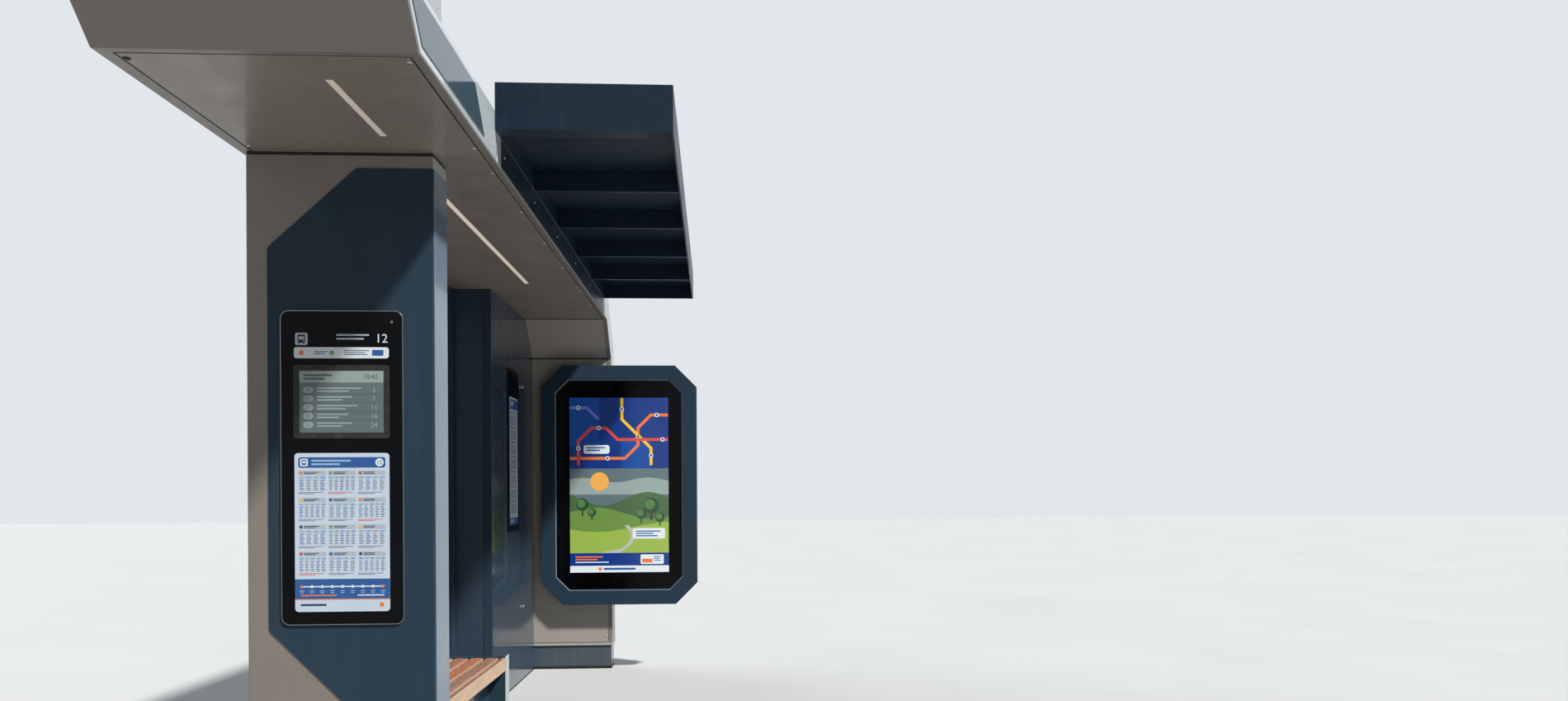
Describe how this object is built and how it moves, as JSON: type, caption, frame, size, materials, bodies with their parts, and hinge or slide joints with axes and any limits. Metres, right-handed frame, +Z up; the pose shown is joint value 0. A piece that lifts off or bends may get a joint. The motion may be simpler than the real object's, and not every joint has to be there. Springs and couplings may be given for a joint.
{
  "type": "bus shelter",
  "caption": "Open bus shelter: slab canopy bent down into an end wall, broad column with information panel, bench, cabinet, large display and ribbed kerb awning.",
  "frame": {"origin": "middle of the footprint at the level of the lowest ground", "axes": "+X across the pavement to the road, +Y along the street from the column to the end wall, +Z up"},
  "size_m": [1.477, 4.962, 2.88],
  "materials": {
    "ribbon_paint": "satin",
    "soffit_paint": "satin",
    "fascia_metal": "satin",
    "navy_paint": "satin",
    "plinth_paint": "satin",
    "cabinet_paint": "satin",
    "awning_paint": "satin",
    "dark_glass": "gloss",
    "clear_glass": "gloss",
    "light_diffuser": "satin",
    "epaper": "matte",
    "printed_sheet": "matte",
    "screen": "gloss",
    "timber": "oiled",
    "bare_metal": "satin"
  },
  "bodies": {
    "root": {"canopy_shell": "ribbon_paint", "soffit_panel_near": "soffit_paint", "soffit_panel_column": "soffit_paint", "soffit_panel_middle": "soffit_paint", "soffit_panel_far": "soffit_paint", "soffit_light_near": "light_diffuser", "soffit_light_middle": "light_diffuser", "fascia_panel": "fascia_metal", "fascia_sign": "dark_glass", "near_column": "ribbon_paint", "column_cladding": "navy_paint", "info_glass": "dark_glass", "info_trim": "bare_metal", "epaper_screen": "epaper", "timetable_sheet": "printed_sheet", "bench_slats": "timber", "bench_front_board": "timber", "bench_end_plates": "navy_paint", "bench_apron": "navy_paint", "back_frame": "navy_paint", "back_glass": "clear_glass", "cabinet_body": "cabinet_paint", "cabinet_corner_trim": "navy_paint", "cabinet_glass": "dark_glass", "cabinet_sheet": "printed_sheet", "cabinet_knobs": "bare_metal", "end_wall_shell": "ribbon_paint", "chamfer_panel": "soffit_paint", "end_wall_panel": "soffit_paint", "end_wall_plinth": "plinth_paint", "display_housing": "navy_paint", "display_surround": "navy_paint", "display_glass": "dark_glass", "display_screen": "screen", "awning_near_channel": "awning_paint", "awning_far_plate": "awning_paint", "awning_road_plate": "awning_paint", "awning_rear_plate": "awning_paint", "awning_ribs": "awning_paint", "awning_roof": "awning_paint"}
  },
  "joints": []
}
